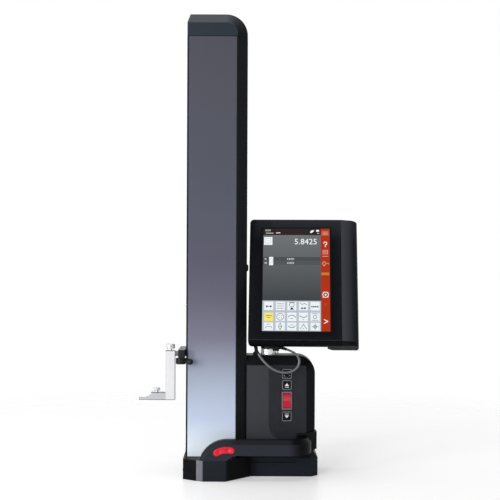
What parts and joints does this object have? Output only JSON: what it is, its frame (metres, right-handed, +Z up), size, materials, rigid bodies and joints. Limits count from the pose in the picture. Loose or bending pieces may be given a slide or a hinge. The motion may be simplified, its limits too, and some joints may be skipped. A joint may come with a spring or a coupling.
{
  "type": "height gauge",
  "caption": "Column height gauge with an air-bearing base, motor-driven probe carriage, palm handle and a tilting touch display on the side.",
  "frame": {"origin": "on the surface plate, under the column's centre, on the base's lapped underside", "axes": "+Z up the column, -X towards the probe, +X towards the control housing, -Y towards the operator"},
  "size_m": [0.4375, 0.1995, 0.922],
  "materials": {
    "cast_black": "black textured enamel",
    "handle_black": "satin black",
    "shell_black": "satin black powder coat",
    "display_black": "fine grain black",
    "panel_fade": "satin, dark slate at the top fading to ice blue at the foot",
    "aluminium": "milled",
    "arm_black": "black anodised",
    "bearing_steel": "ground",
    "ground_steel": "fine ground",
    "post_chrome": "polished",
    "pad_bronze": "lapped",
    "weight_iron": "plain",
    "red_button": "glossy red",
    "key_black": "glossy black",
    "screen_glass": "lit touch display",
    "board_green": "solder mask",
    "inner_plastic": "moulded",
    "rubber_black": "smooth black"
  },
  "bodies": {
    "base": {"base_casting": "cast_black", "air_pads": "pad_bronze", "column_spine": "aluminium", "column_rear_cover": "shell_black", "near_side_panel": "panel_fade", "far_side_panel": "panel_fade", "front_trims": "shell_black", "top_cap": "shell_black", "guide_rail": "bearing_steel", "rail_screws": "bearing_steel", "glass_scale": "aluminium", "motor_plate": "aluminium", "drive_motor": "bearing_steel", "idler_bracket": "aluminium", "idler_axle": "bearing_steel", "drive_belt": "rubber_black", "handle": "handle_black", "air_button_switch": "inner_plastic", "housing_front_shell": "shell_black", "housing_rear_shell": "shell_black", "cover_screws": "bearing_steel", "power_inlet": "inner_plastic", "battery_pack": "inner_plastic", "air_pump": "inner_plastic", "control_board": "board_green", "key_switches": "inner_plastic", "rocker_frame": "shell_black", "pivot_post": "post_chrome", "swivel_stop_pin": "bearing_steel", "display_cable_lower": "rubber_black", "housing_plug": "rubber_black"},
    "carriage": {"carriage_plate": "aluminium", "rail_bearing": "bearing_steel", "read_head": "aluminium", "belt_clamp": "aluminium", "probe_arm": "arm_black", "probe_rod": "ground_steel"},
    "counterweight": {"counterweight": "weight_iron"},
    "drive_pulley": {"drive_pulley": "aluminium"},
    "idler_pulley": {"idler_pulley": "aluminium"},
    "clamp_lever": {"clamp_lever": "arm_black"},
    "holder": {"stylus_holder": "ground_steel"},
    "holder_screw": {"holder_screw": "ground_steel"},
    "stylus_screw": {"stylus_screw": "ground_steel"},
    "stylus": {"stylus": "ground_steel"},
    "air_button": {"air_button": "red_button"},
    "curve_button": {"curve_button": "key_black"},
    "up_button": {"up_button": "key_black"},
    "down_button": {"down_button": "key_black"},
    "jog_rocker": {"jog_rocker": "red_button"},
    "swivel": {"swivel_bracket": "arm_black", "tilt_pin": "bearing_steel", "display_cable_upper": "rubber_black"},
    "display": {"display_front_bezel": "display_black", "display_rear_shell": "display_black", "touch_screen": "screen_glass", "display_board": "board_green", "tilt_lugs": "arm_black", "display_boot": "rubber_black", "display_plug": "rubber_black"}
  },
  "joints": [
    {"name": "carriage_travel", "type": "slide", "parent": "base", "child": "carriage", "axis": [0, 0, 1], "range_m": [-0.15, 0.46]},
    {"name": "counterweight_travel", "type": "slide", "parent": "base", "child": "counterweight", "axis": [0, 0, 1], "range_m": [-0.46, 0.15]},
    {"name": "drive_pulley_turn", "type": "hinge", "parent": "base", "child": "drive_pulley", "pos_m": [-0.002, -0.03, 0.845], "axis": [0, 1, 0], "range_deg": [-540, 1650]},
    {"name": "idler_pulley_turn", "type": "hinge", "parent": "base", "child": "idler_pulley", "pos_m": [-0.002, -0.03, 0.0625], "axis": [0, 1, 0], "range_deg": [-540, 1650]},
    {"name": "clamp_lever_turn", "type": "hinge", "parent": "carriage", "child": "clamp_lever", "pos_m": [-0.0695, -0.061, 0.24], "axis": [0, 0, 1], "range_deg": [-85, 0]},
    {"name": "holder_slide", "type": "slide", "parent": "carriage", "child": "holder", "axis": [-1, 0, 0], "range_m": [0, 0.012]},
    {"name": "holder_screw_turn", "type": "hinge", "parent": "holder", "child": "holder_screw", "pos_m": [-0.0904, -0.061, 0.256], "axis": [0, 0, 1], "range_deg": [0, 720]},
    {"name": "stylus_slide", "type": "slide", "parent": "holder", "child": "stylus", "axis": [-1, 0, 0], "range_m": [0, 0.012]},
    {"name": "stylus_screw_turn", "type": "hinge", "parent": "holder", "child": "stylus_screw", "pos_m": [-0.1173, -0.061, 0.172], "axis": [0, 0, 1], "range_deg": [0, 720]},
    {"name": "air_button_press", "type": "slide", "parent": "base", "child": "air_button", "axis": [0, 1, 0], "range_m": [0, 0.002], "stiffness_N_per_m": 600},
    {"name": "curve_button_press", "type": "slide", "parent": "base", "child": "curve_button", "axis": [0, 1, 0], "range_m": [0, 0.001], "stiffness_N_per_m": 600},
    {"name": "up_button_press", "type": "slide", "parent": "base", "child": "up_button", "axis": [0, 1, 0], "range_m": [0, 0.001], "stiffness_N_per_m": 600},
    {"name": "down_button_press", "type": "slide", "parent": "base", "child": "down_button", "axis": [0, 1, 0], "range_m": [0, 0.001], "stiffness_N_per_m": 600},
    {"name": "jog_rocker_tip", "type": "hinge", "parent": "base", "child": "jog_rocker", "pos_m": [0.1409, -0.038, 0.1493], "axis": [1, 0, 0], "range_deg": [-8, 8], "stiffness_Nm_per_rad": 0.3},
    {"name": "display_swivel", "type": "hinge", "parent": "base", "child": "swivel", "pos_m": [0.1048, 0, 0.26], "axis": [0, 0, 1], "range_deg": [0, 60], "deforming": ["display_cable_lower"]},
    {"name": "display_tilt", "type": "hinge", "parent": "swivel", "child": "display", "pos_m": [0.10399, -0.0185, 0.31022], "axis": [0.999, -0.0436, 0], "range_deg": [-25, 5], "deforming": ["display_cable_upper"]}
  ],
  "couplings": [
    {"joint": "counterweight_travel", "follows": "carriage_travel", "ratio": -1},
    {"joint": "drive_pulley_turn", "follows": "carriage_travel", "rad_per_m": 62.5},
    {"joint": "idler_pulley_turn", "follows": "carriage_travel", "rad_per_m": 62.5}
  ]
}
